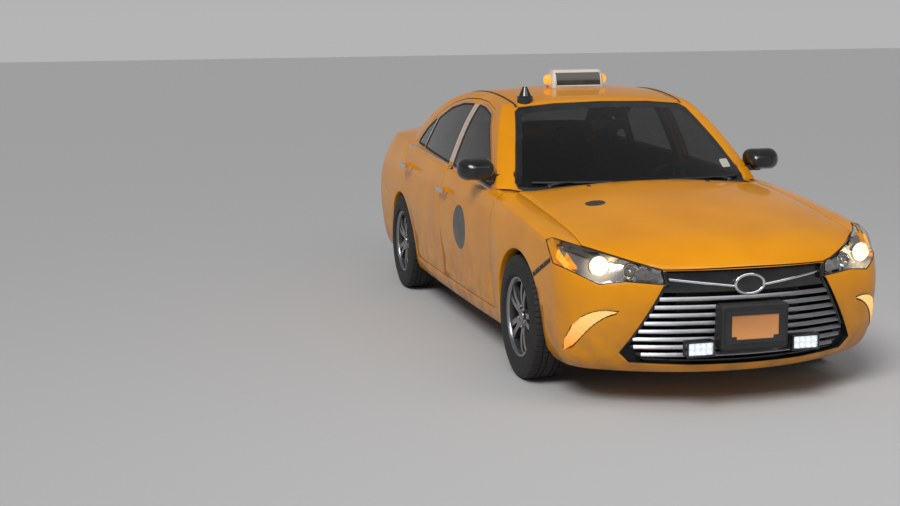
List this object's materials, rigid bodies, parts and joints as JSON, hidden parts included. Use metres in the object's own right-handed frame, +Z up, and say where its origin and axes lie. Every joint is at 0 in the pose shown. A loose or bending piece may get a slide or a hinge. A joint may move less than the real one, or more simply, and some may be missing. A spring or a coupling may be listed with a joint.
{
  "type": "four-door saloon taxi cab",
  "caption": "Saloon taxi with opening doors, hood and boot, steered front wheels, a cabin with seats, a lit roof sign and a rubber guard on its front bumper.",
  "frame": {"origin": "On the road, in the middle of the overall length and width", "axes": "+X is the car's left, -Y is forward, +Z is up"},
  "size_m": [2.0152, 4.9006, 1.578],
  "materials": {
    "paint": "gloss",
    "tinted_glass": "polished",
    "tyre": "matte",
    "alloy": "satin",
    "gloss_black": "gloss",
    "dark_plastic": "satin",
    "lamp_lens": "polished",
    "red_lens": "gloss",
    "rubber": "matte",
    "underbody_metal": "matte",
    "iron": "rough",
    "steel": "satin",
    "upholstery": "satin",
    "light_panel": "satin"
  },
  "bodies": {
    "body": {"underbody": "underbody_metal", "body_side_left": "paint", "body_side_right": "paint", "roof_panel": "paint", "rear_deck": "paint", "fenders": "paint", "front_bumper": "paint", "rear_bumper": "paint", "grille": "dark_plastic", "front_guard": "rubber", "headlamps": "lamp_lens", "auxiliary_lamps": "lamp_lens", "tail_lamps": "red_lens", "windscreen": "tinted_glass", "rear_window": "tinted_glass", "engine": "iron", "dashboard": "dark_plastic", "seats": "upholstery", "front_suspension": "iron", "rear_axle": "iron", "exhaust": "steel", "roof_light": "light_panel", "roof_aerial": "gloss_black"},
    "hood": {"hood": "paint"},
    "boot_lid": {"boot_lid": "paint"},
    "front_door_left": {"door_front_left": "paint", "window_front_left": "tinted_glass", "mirror_left": "gloss_black"},
    "rear_door_left": {"door_rear_left": "paint", "window_rear_left": "tinted_glass"},
    "knuckle_left": {"knuckle_left": "iron"},
    "front_wheel_left": {"tyre_front_left": "tyre", "rim_front_left": "alloy"},
    "rear_wheel_left": {"tyre_rear_left": "tyre", "rim_rear_left": "alloy"},
    "front_door_right": {"door_front_right": "paint", "window_front_right": "tinted_glass", "mirror_right": "gloss_black"},
    "rear_door_right": {"door_rear_right": "paint", "window_rear_right": "tinted_glass"},
    "knuckle_right": {"knuckle_right": "iron"},
    "front_wheel_right": {"tyre_front_right": "tyre", "rim_front_right": "alloy"},
    "rear_wheel_right": {"tyre_rear_right": "tyre", "rim_rear_right": "alloy"}
  },
  "joints": [
    {"name": "front_door_hinge_left", "type": "hinge", "parent": "body", "child": "front_door_left", "pos_m": [0.8685, -0.885, 0.605], "axis": [0, 0, -1], "range_deg": [0, 65]},
    {"name": "rear_door_hinge_left", "type": "hinge", "parent": "body", "child": "rear_door_left", "pos_m": [0.8685, 0.225, 0.605], "axis": [0, 0, -1], "range_deg": [0, 65]},
    {"name": "front_door_hinge_right", "type": "hinge", "parent": "body", "child": "front_door_right", "pos_m": [-0.8685, -0.885, 0.605], "axis": [0, 0, 1], "range_deg": [0, 65]},
    {"name": "rear_door_hinge_right", "type": "hinge", "parent": "body", "child": "rear_door_right", "pos_m": [-0.8685, 0.225, 0.605], "axis": [0, 0, 1], "range_deg": [0, 65]},
    {"name": "hood_hinge", "type": "hinge", "parent": "body", "child": "hood", "pos_m": [0, -0.965, 0.925], "axis": [-1, 0, 0], "range_deg": [0, 45]},
    {"name": "boot_lid_hinge", "type": "hinge", "parent": "body", "child": "boot_lid", "pos_m": [0, 1.705, 1.092], "axis": [1, 0, 0], "range_deg": [0, 75]},
    {"name": "steer_left", "type": "hinge", "parent": "body", "child": "knuckle_left", "pos_m": [0.755, -1.44, 0.19], "axis": [-0.2079, 0, 0.9781], "range_deg": [-34, 34]},
    {"name": "steer_right", "type": "hinge", "parent": "body", "child": "knuckle_right", "pos_m": [-0.755, -1.44, 0.19], "axis": [0.2079, 0, 0.9781], "range_deg": [-34, 34]},
    {"name": "front_wheel_spin_left", "type": "hinge", "parent": "knuckle_left", "child": "front_wheel_left", "pos_m": [0.7925, -1.44, 0.334], "axis": [1, 0, 0], "continuous": true},
    {"name": "rear_wheel_spin_left", "type": "hinge", "parent": "body", "child": "rear_wheel_left", "pos_m": [0.7925, 1.336, 0.334], "axis": [1, 0, 0], "continuous": true},
    {"name": "front_wheel_spin_right", "type": "hinge", "parent": "knuckle_right", "child": "front_wheel_right", "pos_m": [-0.7925, -1.44, 0.334], "axis": [1, 0, 0], "continuous": true},
    {"name": "rear_wheel_spin_right", "type": "hinge", "parent": "body", "child": "rear_wheel_right", "pos_m": [-0.7925, 1.336, 0.334], "axis": [1, 0, 0], "continuous": true}
  ],
  "couplings": [
    {"joint": "steer_left", "follows": "steer_right", "ratio": 1}
  ]
}
